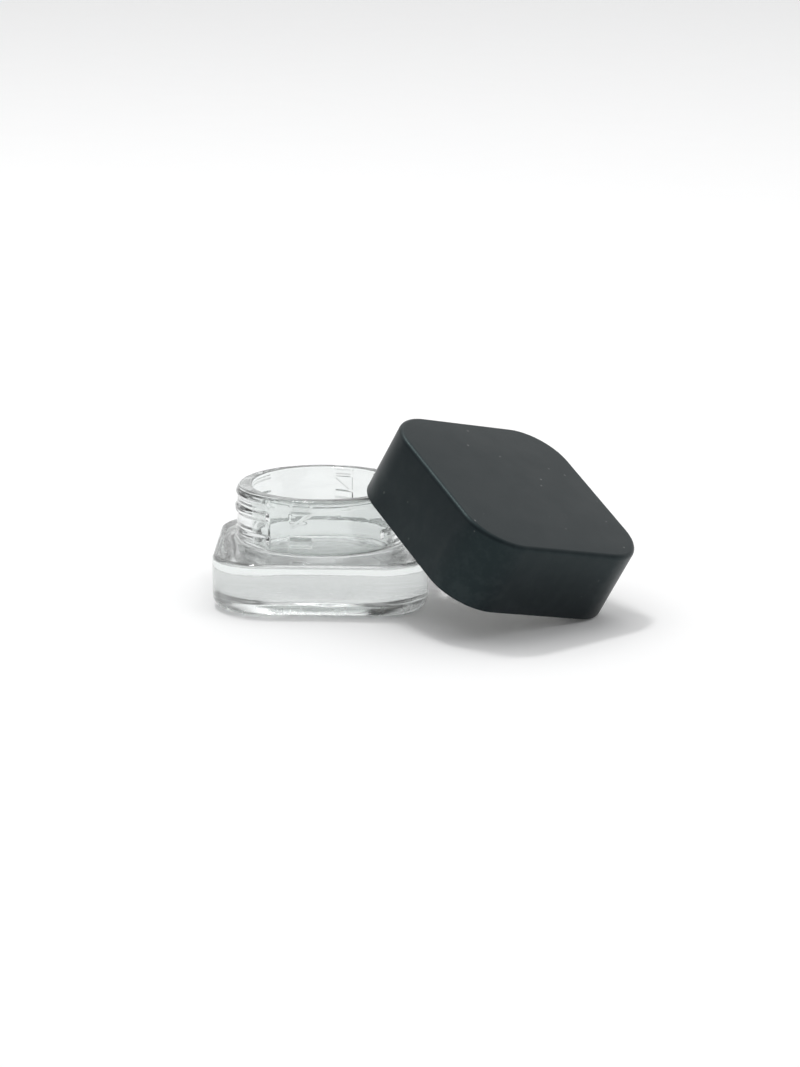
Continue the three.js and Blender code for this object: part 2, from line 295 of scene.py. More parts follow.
def neck_point(radius, height, angle):
    """A point of the neck's outside, with its broken thread, seam fins and lip bead."""
    rise = thread_rise(angle, height, THREAD_TOP, THREAD_START, THREAD_TURNS)
    plain = max(plain_share(angle, SEAM_ANGLES, SEAM_PANEL_HALF),
                plain_share(angle, BREAK_ANGLES, BREAK_HALF))
    rise = max(rise * (1 - plain), 0.75 * start_ramp(angle, height))
    reach = radius + THREAD_SHOWN * rise
    edge = min(abs(angle_off(angle, seam) - SEAM_PANEL_HALF) for seam in SEAM_ANGLES)
    low_end = smoothstep(SHOULDER_ROOT + 0.3, SHOULDER_ROOT + 1.2, height)
    reach += SEAM_FIN * (1 - smoothstep(0.1, 1.0, edge)) * low_end
    bead = math.exp(-(((height - LIP_BEAD_HEIGHT) / LIP_BEAD_WIDTH) ** 2))
    reach += LIP_BEAD * bead * (1 - 0.75 * plain)
    return Vector((reach * math.cos(angle), reach * math.sin(angle), height))


def waved(point, size, amount, seed):
    """Moves a point by the slow unevenness of pressed glass."""
    place = point / size + Vector((seed, seed * 0.7, seed * 1.3))
    return point + noise.noise_vector(place) * amount


def fold_depth(height, angle, line):
    """A shallow groove round the heel, that wanders up and down."""
    wander = 0.42 * noise.noise(Vector((1.6 * math.cos(angle), 1.6 * math.sin(angle), 4.0)))
    wander += 0.16 * noise.noise(Vector((5 * math.cos(angle), 5 * math.sin(angle), 9.0)))
    return math.exp(-(((height - line - wander) / 0.2) ** 2))


def side_ring(inset, height):
    """A ring of the body's side, drawn in a little along the heel's fold."""
    ring = square_ring(JAR_HALF - inset, CORNER_RADIUS - inset, height, JAR_COUNT)
    low = 1 - smoothstep(1.9, 2.9, height)
    for i, point in enumerate(ring):
        depth = HEEL_FOLD * fold_depth(height, TAU * i / JAR_COUNT, HEEL_LINE)
        ripple = noise.noise(Vector((point.x / 3.4, point.y / 3.4, height / 0.8 + 20)))
        depth += HEEL_RIPPLE * low * (0.5 + ripple)
        out = Vector((point.x, point.y, 0)).normalized()
        ring[i] = point - out * depth
    return ring


def hollow_rings():
    """Rings from the middle of the base, out across the hollow to the foot."""
    rings = []
    flat = JAR_HALF - PUNT_INSET - PUNT_SLOPE
    for share in (0.08, 0.25, 0.42, 0.58, 0.72, 0.84):
        lift = PUNT_DEPTH + 0.15 * (1 - share * share)
        rings.append(square_ring(flat * share, flat * share * 0.6, lift, JAR_COUNT))
    for i in range(13):
        down = i / 12
        inset = PUNT_INSET + PUNT_SLOPE * (1 - down)
        height = PUNT_DEPTH * (1 - smoothstep(0, 1, down))
        half = JAR_HALF - inset
        corner = half * 0.6 + (CORNER_RADIUS - PUNT_INSET - half * 0.6) * down
        rings.append(square_ring(half, corner, height, JAR_COUNT))
    return rings


def side_rings():
    """Rings from the foot, up the side and over the shoulder's edge."""
    rings = []
    for radius, height in arc_points((0, BASE_ROUND), BASE_ROUND, -90, 0, 14):
        rings.append(side_ring(BASE_ROUND - radius, height))
    side_top = SHOULDER_EDGE - SHOULDER_ROUND[1]
    for _, height in line_points((0, BASE_ROUND), (0, side_top), 34):
        rings.append(side_ring(0, height))
    for across, up in arc_points((0, 0), 1, 0, 90, 9):
        inset = SHOULDER_ROUND[0] * (1 - across)
        height = side_top + SHOULDER_ROUND[1] * up
        rings.append(square_ring(JAR_HALF - inset, CORNER_RADIUS - inset, height, JAR_COUNT))
    return rings


def shoulder_rings():
    """Rings across the shoulder, from square to round, and up the neck's root fillet."""
    edge = square_ring(JAR_HALF - SHOULDER_ROUND[0], CORNER_RADIUS - SHOULDER_ROUND[0],
                       SHOULDER_EDGE, JAR_COUNT)
    root = round_ring(NECK_RADIUS + NECK_ROOT_FILLET, SHOULDER_ROOT, JAR_COUNT)
    rings = [[a.lerp(b, i / 10) for a, b in zip(edge, root)] for i in range(1, 10)]
    fillet_centre = (NECK_RADIUS + NECK_ROOT_FILLET, SHOULDER_ROOT + NECK_ROOT_FILLET)
    for radius, height in arc_points(fillet_centre, NECK_ROOT_FILLET, 270, 180, 6):
        rings.append(round_ring(radius, height, JAR_COUNT))
    return rings


def neck_ring(radius, height):
    return [neck_point(radius, height, TAU * i / JAR_COUNT) for i in range(JAR_COUNT)]


def neck_rings():
    """Rings up the threaded neck and over the outer half of the lip."""
    neck_low = SHOULDER_ROOT + NECK_ROOT_FILLET
    lip_centre = JAR_HEIGHT - LIP_OUTER_ROUND
    rings = [neck_ring(NECK_RADIUS, height)
             for _, height in line_points((0, neck_low), (0, lip_centre), 84)]
    lip = arc_points((NECK_RADIUS - LIP_OUTER_ROUND, lip_centre), LIP_OUTER_ROUND, 0, 90, 10)
    rings += [neck_ring(radius, height) for radius, height in lip]
    return rings


def jar_inside():
    """Rings from the lip, down the well, to the middle of its floor."""
    rings = []
    lip = (MOUTH_RADIUS + LIP_INNER_ROUND, JAR_HEIGHT - LIP_INNER_ROUND)
    for radius, height in arc_points(lip, LIP_INNER_ROUND, 90, 180, 7):
        rings.append(round_ring(radius, height, JAR_COUNT))
    well_low = BASE_THICKNESS + WELL_FILLET
    for _, height in line_points((0, JAR_HEIGHT - LIP_INNER_ROUND), (0, well_low), 26):
        rings.append(round_ring(MOUTH_RADIUS, height, JAR_COUNT))
    floor_edge = MOUTH_RADIUS - WELL_FILLET
    for radius, height in arc_points((floor_edge, well_low), WELL_FILLET, 0, -90, 12):
        rings.append(round_ring(radius, height, JAR_COUNT))
    for share in (0.9, 0.78, 0.64, 0.5, 0.36, 0.22, 0.08):
        dish = -0.3 * (1 - share * share)
        rings.append(round_ring(floor_edge * share, BASE_THICKNESS + dish, JAR_COUNT))
    return rings


def make_jar(material):
    noise.seed_set(WAVE_SEED)  # without a seed the waves follow the clock
    bm = bmesh.new()
    outside = hollow_rings() + side_rings() + shoulder_rings() + neck_rings()
    inside = jar_inside()
    for ring in outside:
        for i, point in enumerate(ring):
            on_table = smoothstep(0.0, 1.6, point.z)
            moved = waved(point, 7.0, GLASS_WAVE, 3.1)
            ring[i] = point.lerp(moved, on_table)
    for ring in inside:
        for i, point in enumerate(ring):
            below_lip = smoothstep(JAR_HEIGHT, JAR_HEIGHT - 2, point.z)
            ring[i] = point.lerp(waved(point, 6.0, GLASS_WAVE, 11.7), below_lip)
    skin(bm, outside + inside)
    return object_from("jar_glass", bm, material)


# The cap ---------------------------------------------------------------------------------

CAP_COUNT = 256
POCKET_COUNT = 128


def soft_block(half, corner, low, high, top_round, low_round, count):
    """A square block with round corners, and rounded edges at its two ends."""
    bm = bmesh.new()
    rings = []
    if low_round:
        for radius, height in arc_points((0, low + low_round), low_round, -90, 0, 4):
            inset = low_round - radius
            rings.append(square_ring(half - inset, corner - inset, height, count))
    else:
        rings.append(square_ring(half, corner, low, count))
    if top_round:
        for radius, height in arc_points((0, high - top_round), top_round, 0, 90, 9):
            inset = top_round - radius
            rings.append(square_ring(half - inset, corner - inset, height, count))
    else:
        rings.append(square_ring(half, corner, high, count))
    loops = skin(bm, rings, close_start=False, close_end=False)
    bm.faces.new(list(reversed(loops[0])))
    bm.faces.new(loops[-1])
    return bm


def drum(radius, low, high, count):
    bm = bmesh.new()
    loops = skin(bm, [round_ring(radius, low, count), round_ring(radius, high, count)],
                 close_start=False, close_end=False)
    bm.faces.new(list(reversed(loops[0])))
    bm.faces.new(loops[-1])
    return bm


def bar(x_range, y_range, z_range, turn=0.0):
    bm = bmesh.new()
    bmesh.ops.create_cube(bm, size=1)
    size = Vector((x_range[1] - x_range[0], y_range[1] - y_range[0], z_range[1] - z_range[0]))
    middle = Vector((sum(x_range), sum(y_range), sum(z_range))) / 2
    place = (Matrix.Rotation(math.radians(turn), 4, "Z") @ Matrix.Translation(middle)
             @ Matrix.Diagonal((*size, 1)))
    bmesh.ops.transform(bm, matrix=place, verts=bm.verts)
    return bm


def scratch_object(bm):
    bmesh.ops.recalc_face_normals(bm, faces=bm.faces)
    mesh = bpy.data.meshes.new("scratch")
    bm.to_mesh(mesh)
    bm.free()
    piece = bpy.data.objects.new("scratch", mesh)
    bpy.context.scene.collection.objects.link(piece)
    return piece


def boolean(target, tools, operation):
    """Joins or cuts the target with each tool in turn, then removes the tools."""
    for bm in tools:
        tool = scratch_object(bm)
        step = target.modifiers.new("step", "BOOLEAN")
        step.operation = operation
        step.solver = "EXACT"
        step.object = tool
        bpy.context.view_layer.update()
        shaped = bpy.data.meshes.new_from_object(
            target.evaluated_get(bpy.context.evaluated_depsgraph_get()))
        target.modifiers.clear()
        old = target.data
        target.data = shaped
        bpy.data.meshes.remove(old)
        old_tool = tool.data
        bpy.data.objects.remove(tool)
        bpy.data.meshes.remove(old_tool)


def take_bmesh(piece):
    """The mesh of a scratch object as a bmesh, with the object removed."""
    bm = bmesh.new()
    bm.from_mesh(piece.data)
    mesh = piece.data
    bpy.data.objects.remove(piece)
    bpy.data.meshes.remove(mesh)
    return bm


def make_shell(material):
    """The square shell: a round socket, cored corners with a rib, lugs and catches."""
    cores = scratch_object(soft_block(CAP_HALF - SIDE_WALL, CORNER_RADIUS - SIDE_WALL, -1,
                                      SHELL_UNDERSIDE, 0, 0, POCKET_COUNT))
    ring = drum(SOCKET_RADIUS + SOCKET_WALL, -2, SHELL_UNDERSIDE + 1, CAP_COUNT)
    boolean(cores, [ring], "DIFFERENCE")
    ribs = [bar((-30, 30), (-0.5, 0.5), (-2, SHELL_UNDERSIDE + 1), turn) for turn in (45, 135)]
    boolean(cores, ribs, "DIFFERENCE")
    shell = scratch_object(soft_block(CAP_HALF, CORNER_RADIUS, 0, CAP_HEIGHT, CAP_EDGE_ROUND,
                                      0.22, CAP_COUNT))
    boolean(shell, [drum(SOCKET_RADIUS, -1, SHELL_UNDERSIDE, CAP_COUNT), take_bmesh(cores)],
            "DIFFERENCE")
    bm = take_bmesh(shell)
    for i in range(12):
        lug = bar((LUG_INNER, LUG_OUTER), (-0.8, 0.8),
                  (SHELL_UNDERSIDE - LUG_HEIGHT, SHELL_UNDERSIDE + 0.1), 30 * i)
        add_island(bm, lug, 0.18)
    for i in range(4):
        catch = bar((SOCKET_RADIUS - 0.75, SOCKET_RADIUS + 0.4), (-2, 2), (0.3, 1.05), 90 * i)
        add_island(bm, catch, 0.15)
    return object_from("cap_shell_moulding", bm, material, CAP_FRAME, 32)


def add_island(bm, part, round_edges=0.0):
    """Copies a separate closed part into a bmesh, with its edges broken."""
    if round_edges:
        bmesh.ops.bevel(part, geom=list(part.edges), offset=round_edges, segments=2,
                        affect="EDGES", profile=0.5)
    bmesh.ops.recalc_face_normals(part, faces=part.faces)
    mesh = bpy.data.meshes.new("island")
    part.to_mesh(mesh)
    part.free()
    bm.from_mesh(mesh)
    bpy.data.meshes.remove(mesh)


def turned_rings(profile, count):
    return [round_ring(radius, height, count) for radius, height in profile]


def make_insert(material):
    """The threaded insert: skirt, inside thread, panel, and the lugs and key on top."""
    bm = bmesh.new()
    top_round = 0.5
    outside = [(0.6, PANEL_TOP), (4.0, PANEL_TOP), (9.0, PANEL_TOP), (14.0, PANEL_TOP)]
    outside += arc_points((INSERT_RADIUS - top_round, PANEL_TOP - top_round), top_round, 90, 0, 6)
    outside += line_points((INSERT_RADIUS, PANEL_TOP - top_round),
                           (INSERT_RADIUS, INSERT_SKIRT_BOTTOM + 0.2), 10)
    outside += arc_points((INSERT_RADIUS - 0.2, INSERT_SKIRT_BOTTOM + 0.2), 0.2, 0, -90, 3)
    outside += arc_points((INSERT_BORE + 0.2, INSERT_SKIRT_BOTTOM + 0.2), 0.2, 270, 180, 3)
    rings = turned_rings(outside, CAP_COUNT)
    thread_top = LINER_BOTTOM - THREAD_ROOT_HALF - THREAD_GAP
    seated = SEATED_RIM + PRESS_TRAVEL
    lead = thread_top - (THREAD_TOP - seated - THREAD_PITCH / 2)
    start = THREAD_START + 360 * lead / THREAD_PITCH
    turns = (thread_top - INSERT_SKIRT_BOTTOM - THREAD_ROOT_HALF) / THREAD_PITCH
    for _, height in line_points((0, INSERT_SKIRT_BOTTOM + 0.2), (0, PANEL_BOTTOM - 0.3), 64):
        ring = []
        for i in range(CAP_COUNT):
            angle = TAU * i / CAP_COUNT
            rise = thread_rise(angle, height, thread_top, start, turns)
            radius = INSERT_BORE - THREAD_DEPTH * rise
            ring.append(Vector((radius * math.cos(angle), radius * math.sin(angle), height)))
        rings.append(ring)
    inside = arc_points((INSERT_BORE - 0.3, PANEL_BOTTOM - 0.3), 0.3, 0, 90, 4)
    inside += [(12.0, PANEL_BOTTOM), (6.0, PANEL_BOTTOM), (0.6, PANEL_BOTTOM)]
    rings += turned_rings(inside, CAP_COUNT)
    skin(bm, rings)
    for i in range(12):
        lug = bar((LUG_INNER, LUG_OUTER), (-0.8, 0.8), (PANEL_TOP - 0.1, PANEL_TOP + LUG_HEIGHT),
                  15 + 30 * i)
        add_island(bm, lug, 0.18)
    add_island(bm, drum(2.5, PANEL_TOP - 0.1, PANEL_TOP + LUG_HEIGHT, 6), 0.15)
    return object_from("cap_insert_moulding", bm, material, CAP_FRAME, 35)


def make_liner(material):
    """The foam disc, with the shallow ring that the jar's lip has pressed into it."""
    radius = 16.0
    edge = 0.15
    bottom = LINER_BOTTOM
    top = LINER_BOTTOM + LINER_THICKNESS
    profile = [(0.5, top), (8.0, top)]
    profile += arc_points((radius - edge, top - edge), edge, 90, 0, 4)
    profile += arc_points((radius - edge, bottom + edge), edge, 0, -90, 4)
    for i in range(17):
        reach = 15.7 - i * 0.17
        dent = 0.16 * smoothstep(15.6, 15.2, reach) * smoothstep(13.2, 13.7, reach)
        profile.append((reach, bottom + dent))
    profile += [(10.0, bottom), (5.0, bottom), (0.5, bottom)]
    bm = bmesh.new()
    skin(bm, turned_rings(profile, 160))
    for vert in bm.verts:
        if vert.co.z < bottom + 0.3:
            vert.co.z += 0.03 * abs(noise.noise(vert.co / 3.5))
    return object_from("sealing_disc", bm, material, CAP_FRAME, 40)


def make_spring(material):
    """The spider spring: a hub on the insert's key and six legs that bear on the shell."""
    thick = 0.45
    low = PANEL_TOP + SPRING_GAP
    high = SHELL_UNDERSIDE - SPRING_GAP
    hub_radius, key_radius, tip_radius = 4.4, 2.7, LUG_INNER - 1.0
    bm = bmesh.new()
    count = 96
    edge = 0.08
    hub = []
    key_start = []
    for i in range(count):
        angle = TAU * i / count
        facet = (math.degrees(angle) % 60) - 30
        reach = key_radius * math.cos(math.radians(30)) / math.cos(math.radians(facet))
        key_start.append(reach)
    for radius, height in ((hub_radius - edge, low), (hub_radius, low + edge),
                           (hub_radius, low + thick - edge), (hub_radius - edge, low + thick)):
        hub.append(round_ring(radius, height, count))
    key_edge = ((edge, low + thick), (0, low + thick - edge), (0, low + edge), (edge, low))
    for grow, height in key_edge:
        hub.append([Vector(((key_start[i] + grow) * math.cos(TAU * i / count),
                            (key_start[i] + grow) * math.sin(TAU * i / count), height))
                    for i in range(count)])
    skin(bm, hub, joined=True)
    for leg in range(6):
        add_leg(bm, math.radians(60 * leg), hub_radius - 0.5, tip_radius, low, high, thick)
    return object_from("spider_spring", bm, material, CAP_FRAME, 35)


def add_leg(bm, turn, start, end, low, high, thick):
    """One curved leg, from the hub's height up to the shell's underside."""
    steps = 18
    half = 0.9
    rise = high - thick - low
    rings = []
    for i in range(steps + 1):
        share = i / steps
        x = start + (end - start) * share
        z = low + rise * smoothstep(0.05, 0.86, share)
        width = half * (1 - 0.18 * share)
        edge = 0.1
        section = [(-width + edge, 0), (width - edge, 0), (width, edge), (width, thick - edge),
                   (width - edge, thick), (-width + edge, thick), (-width, thick - edge),
                   (-width, edge)]
        ring = []
        for y, up in section:
            ring.append(Matrix.Rotation(turn, 3, "Z") @ Vector((x, y, z + up)))
        rings.append(ring)
    skin(bm, rings)


# Finishes --------------------------------------------------------------------------------


def new_group(name, inputs, outputs):
    """An empty shader group with named value inputs and outputs."""
    group = bpy.data.node_groups.new(name, "ShaderNodeTree")
    for label, value in inputs:
        socket = group.interface.new_socket(label, in_out="INPUT", socket_type="NodeSocketFloat")
        socket.default_value = value
    for label in outputs:
        group.interface.new_socket(label, in_out="OUTPUT", socket_type="NodeSocketFloat")
    return group, group.nodes.new("NodeGroupInput"), group.nodes.new("NodeGroupOutput")


def maths(tree, operation, first, second=None):
    node = tree.nodes.new("ShaderNodeMath")
    node.operation = operation
    for socket, value in zip(node.inputs, (first, second)):
        if isinstance(value, bpy.types.NodeSocket):
            tree.links.new(value, socket)
        elif value is not None:
            socket.default_value = value
    return node.outputs[0]


def remap(tree, value, from_low, from_high, to_low=0.0, to_high=1.0):
    node = tree.nodes.new("ShaderNodeMapRange")
    node.interpolation_type = "SMOOTHSTEP"
    for socket, item in zip(node.inputs[:5], (value, from_low, from_high, to_low, to_high)):
        if isinstance(item, bpy.types.NodeSocket):
            tree.links.new(item, socket)
        else:
            socket.default_value = item
    return node.outputs[0]


def object_space(tree):
    return tree.nodes.new("ShaderNodeTexCoord").outputs["Object"]


def noise_value(tree, where, scale, detail=2.0, rough=0.5, distort=0.0):
    node = tree.nodes.new("ShaderNodeTexNoise")
    tree.links.new(where, node.inputs["Vector"])
    for label, value in (("Scale", scale), ("Detail", detail), ("Roughness", rough),
                         ("Distortion", distort)):
        if isinstance(value, bpy.types.NodeSocket):
            tree.links.new(value, node.inputs[label])
        else:
            node.inputs[label].default_value = value
    return node.outputs["Fac"]


def group_moulded_grain():
    """Fine spark-eroded texture with slow unevenness, as moulded plastic has."""
    tree, inputs, outputs = new_group("moulded grain", [("Grain per metre", 9000.0),
                                                        ("Unevenness", 0.35)],
                                      ["Height", "Tone"])
    where = object_space(tree)
    fine = noise_value(tree, where, inputs.outputs["Grain per metre"], 3.0, 0.62)
    slow = noise_value(tree, where, 160.0, 2.0, 0.5)
    uneven = maths(tree, "MULTIPLY", slow, inputs.outputs["Unevenness"])
    tree.links.new(maths(tree, "ADD", fine, uneven), outputs.inputs["Height"])
    tree.links.new(slow, outputs.inputs["Tone"])
    return tree


def group_dust():
    """Sparse specks, stronger where the surface faces up."""
    tree, inputs, outputs = new_group("dust specks", [("Specks per metre", 900.0),
                                                      ("Amount", 0.5)], ["Mask"])
    where = object_space(tree)
    cells = tree.nodes.new("ShaderNodeTexVoronoi")
    cells.feature = "F1"
    tree.links.new(where, cells.inputs["Vector"])
    tree.links.new(inputs.outputs["Specks per metre"], cells.inputs["Scale"])
    chance = tree.nodes.new("ShaderNodeSeparateColor")
    tree.links.new(cells.outputs["Color"], chance.inputs[0])
    size = remap(tree, chance.outputs[0], 0.86, 1.0, 0.0, 0.16)
    ragged = noise_value(tree, where, 5200.0, 2.0, 0.6)
    near = maths(tree, "ADD", cells.outputs["Distance"],
                 maths(tree, "MULTIPLY", maths(tree, "SUBTRACT", ragged, 0.5), 0.12))
    speck = maths(tree, "LESS_THAN", near, size)
    facing = tree.nodes.new("ShaderNodeSeparateXYZ")
    tree.links.new(tree.nodes.new("ShaderNodeNewGeometry").outputs["Normal"], facing.inputs[0])
    upward = remap(tree, facing.outputs["Z"], -0.2, 0.8, 0.25, 1.0)
    amount = maths(tree, "MULTIPLY", inputs.outputs["Amount"], upward)
    tree.links.new(maths(tree, "MULTIPLY", speck, amount), outputs.inputs["Mask"])
    return tree


def group_edge_wear_and_highlight():
    """Thin lighter edges, broken up by noise: rubbed wear, and on the shell a painted highlight
    along the top edge.
    """
    tree, inputs, outputs = new_group("edge wear", [("Width", 0.06), ("Amount", 0.5)], ["Mask"])
    where = object_space(tree)
    pointed = tree.nodes.new("ShaderNodeNewGeometry").outputs["Pointiness"]
    high = maths(tree, "ADD", inputs.outputs["Width"], 0.5)
    edge = remap(tree, pointed, 0.5, high)
    broken = remap(tree, noise_value(tree, where, 420.0, 4.0, 0.65), 0.42, 0.66)
    amount = maths(tree, "MULTIPLY", inputs.outputs["Amount"], edge)
    tree.links.new(maths(tree, "MULTIPLY", amount, broken), outputs.inputs["Mask"])
    return tree


GRAIN = group_moulded_grain()
DUST = group_dust()
EDGE_WEAR_AND_HIGHLIGHT = group_edge_wear_and_highlight()


def place_group(tree, group, **values):
    node = tree.nodes.new("ShaderNodeGroup")
    node.node_tree = group
    for key, value in values.items():
        node.inputs[key.replace("_", " ")].default_value = value
    return node


def mixed(tree, mask, first, second):
    """A colour that goes from the first to the second with a mask."""
    node = tree.nodes.new("ShaderNodeMix")
    node.data_type = "RGBA"
    tree.links.new(mask, node.inputs["Factor"])
    for label, value in (("A", first), ("B", second)):
        socket = [s for s in node.inputs if s.name == label and s.type == "RGBA"][0]
        if isinstance(value, bpy.types.NodeSocket):
            tree.links.new(value, socket)
        else:
            socket.default_value = (*value, 1.0)
    return [s for s in node.outputs if s.type == "RGBA"][0]


def bump(tree, height, distance):
    node = tree.nodes.new("ShaderNodeBump")
    node.inputs["Distance"].default_value = distance
    tree.links.new(height, node.inputs["Height"])
    return node.outputs["Normal"]


def new_material(name):
    material = bpy.data.materials.new(name)
    material.use_nodes = True
    tree = material.node_tree
    return material, tree, tree.nodes["Principled BSDF"]


def stippled_base(tree, where):
    """1 on the underside of the jar, which the mould leaves finely stippled."""
    place = tree.nodes.new("ShaderNodeSeparateXYZ")
    tree.links.new(where, place.inputs[0])
    low = remap(tree, place.outputs["Z"], 0.0022, 0.0026, 1.0, 0.0)
    across = maths(tree, "MAXIMUM", maths(tree, "ABSOLUTE", place.outputs["X"]),
                   maths(tree, "ABSOLUTE", place.outputs["Y"]))
    inside = remap(tree, across, 0.0168, 0.0176, 1.0, 0.0)
    patchy = remap(tree, noise_value(tree, where, 900.0, 3.0, 0.6), 0.3, 0.7, 0.75, 1.0)
    return maths(tree, "MULTIPLY", maths(tree, "MULTIPLY", low, inside), patchy)


def scuffed_heel(tree, where):
    """1 round the foot of the jar, in wandering patches where it has rubbed on shelves."""
    place = tree.nodes.new("ShaderNodeSeparateXYZ")
    tree.links.new(where, place.inputs[0])
    wander = maths(tree, "MULTIPLY", noise_value(tree, where, 260.0, 2.0, 0.5), 0.0012)
    height = maths(tree, "ADD", place.outputs["Z"], wander)
    low = remap(tree, height, 0.0016, 0.0030, 1.0, 0.0)
    patchy = remap(tree, noise_value(tree, where, 520.0, 3.0, 0.6), 0.3, 0.6, 0.35, 1.0)
    return maths(tree, "MULTIPLY", low, patchy)


def clear_glass():
    """Pressed soda glass: faint green in the depth, flow lines and light handling marks."""
    material, tree, shader = new_material("clear glass")
    shader.inputs["Transmission Weight"].default_value = 1.0
    shader.inputs["Metallic"].default_value = 0.0
    shader.inputs["IOR"].default_value = 1.52
    where = object_space(tree)
    flow = noise_value(tree, where, 240.0, 2.0, 0.45, 0.6)
    streaks = tree.nodes.new("ShaderNodeMapping")
    streaks.inputs["Scale"].default_value = (1.0, 1.0, 5.0)
    tree.links.new(where, streaks.inputs["Vector"])
    layered = noise_value(tree, streaks.outputs[0], 120.0, 3.0, 0.5)
    tint = mixed(tree, flow, (0.848, 0.869, 0.863), (0.828, 0.851, 0.844))
    tree.links.new(tint, shader.inputs["Base Color"])
    dust = place_group(tree, DUST, Specks_per_metre=420.0, Amount=0.5)
    smudge = remap(tree, noise_value(tree, where, 95.0, 4.0, 0.6), 0.55, 0.8, 0.0, 0.05)
    rough = maths(tree, "ADD", smudge, maths(tree, "MULTIPLY", dust.outputs["Mask"], 0.3))
    under = maths(tree, "MULTIPLY", stippled_base(tree, where), 0.26)
    under = maths(tree, "MAXIMUM", under, maths(tree, "MULTIPLY", scuffed_heel(tree, where), 0.30))
    tree.links.new(maths(tree, "ADD", rough, under), shader.inputs["Roughness"])
    height = maths(tree, "ADD", maths(tree, "MULTIPLY", flow, 0.6), layered)
    tree.links.new(bump(tree, height, 0.000012), shader.inputs["Normal"])
    depth = tree.nodes.new("ShaderNodeVolumeAbsorption")
    depth.inputs["Color"].default_value = (0.80, 0.86, 0.85, 1.0)
    depth.inputs["Density"].default_value = 3.5
    output = tree.nodes["Material Output"]
    tree.links.new(depth.outputs[0], output.inputs["Volume"])
    return material


def moulded_plastic(name, base, wear_and_highlight_colour, rough_range, grain_per_metre, grain_height, dust_amount,
                    wear_and_highlight_amount):
    """A moulded plastic with grain, slow changes of tone and gloss, dust, and lighter edges that
    are partly rubbed wear and partly a painted highlight.
    """
    material, tree, shader = new_material(name)
    grain = place_group(tree, GRAIN, Grain_per_metre=grain_per_metre, Unevenness=0.3)
    wear_and_highlight = place_group(tree, EDGE_WEAR_AND_HIGHLIGHT, Width=0.07, Amount=wear_and_highlight_amount)
    dust = place_group(tree, DUST, Specks_per_metre=700.0, Amount=dust_amount)
    lighter = tuple(channel * 1.22 for channel in base)
    toned = mixed(tree, grain.outputs["Tone"], base, lighter)
    # The edges are painted lighter: rubbed wear, and on the shell a painted highlight along the top
    # edge.
    rubbed = mixed(tree, wear_and_highlight.outputs["Mask"], toned, wear_and_highlight_colour)
    dusty = mixed(tree, dust.outputs["Mask"], rubbed, (0.30, 0.30, 0.29))
    tree.links.new(dusty, shader.inputs["Base Color"])
    gloss = remap(tree, grain.outputs["Tone"], 0.3, 0.7, *rough_range)
    worn_gloss = maths(tree, "SUBTRACT", gloss, maths(tree, "MULTIPLY", wear_and_highlight.outputs["Mask"], 0.12))
    tree.links.new(worn_gloss, shader.inputs["Roughness"])
    tree.links.new(bump(tree, grain.outputs["Height"], grain_height), shader.inputs["Normal"])
    return material, shader


def satin_black():
    # The shell's lighter edge colour and its amount are raised to paint the highlight along the
    # cap's top edge, over the rubbed wear.
    material, shader = moulded_plastic(
        "satin black plastic", (0.0034, 0.0040, 0.0064), (0.055, 0.060, 0.062), (0.36, 0.40),
        9000.0, 0.000012, 0.35, 0.7)
    shader.inputs["Specular IOR Level"].default_value = 0.30
    shader.inputs["Specular Tint"].default_value = (0.66, 0.98, 0.97, 1.0)
    return material


def insert_black():
    material, _ = moulded_plastic(
        "insert plastic", (0.016, 0.017, 0.018), (0.05, 0.05, 0.05), (0.34, 0.44),
        5200.0, 0.000008, 0.1, 0.3)
    return material


def natural_spring():
    material, shader = moulded_plastic(
        "natural spring plastic", (0.62, 0.63, 0.60), (0.75, 0.76, 0.73), (0.3, 0.42),
        4200.0, 0.000008, 0.05, 0.2)
    shader.inputs["Subsurface Weight"].default_value = 0.15
    return material


def white_foam():
    """Closed-cell foam: fine cells, a skin that dips between them and is painted darker in its dips
    as painted shade, a little dust.
    """
    material, tree, shader = new_material("liner foam")
    where = object_space(tree)
    cells = tree.nodes.new("ShaderNodeTexVoronoi")
    cells.inputs["Scale"].default_value = 2600.0
    tree.links.new(where, cells.inputs["Vector"])
    grain = place_group(tree, GRAIN, Grain_per_metre=3000.0, Unevenness=0.6)
    dust = place_group(tree, DUST, Specks_per_metre=600.0, Amount=0.25)
    pitted = remap(tree, cells.outputs["Distance"], 0.0, 0.5)
    # Painted shade: the skin is coloured darker where it dips and lighter on the raised parts.
    tone = mixed(tree, pitted, (0.80, 0.79, 0.75), (0.88, 0.87, 0.84))
    dusty = mixed(tree, dust.outputs["Mask"], tone, (0.45, 0.44, 0.41))
    tree.links.new(dusty, shader.inputs["Base Color"])
    tree.links.new(remap(tree, grain.outputs["Tone"], 0.3, 0.7, 0.7, 0.85),
                   shader.inputs["Roughness"])
    height = maths(tree, "ADD", pitted, grain.outputs["Height"])
    tree.links.new(bump(tree, height, 0.00003), shader.inputs["Normal"])
    return material


# Room ------------------------------------------------------------------------------------

VIEW_TARGET = Vector((0.0, 0.0, 0.010))
VIEW_AZIMUTH = 2.76  # degrees from looking along +Y
VIEW_ELEVATION = 13.83
VIEW_DISTANCE = 0.606
LENS = 114.4
FRAME_SHAPE = 0.7498  # the frame's width over its height
TARGET_OFF_CENTRE = (-0.0959, 0.0022)  # right and down, as shares of the frame


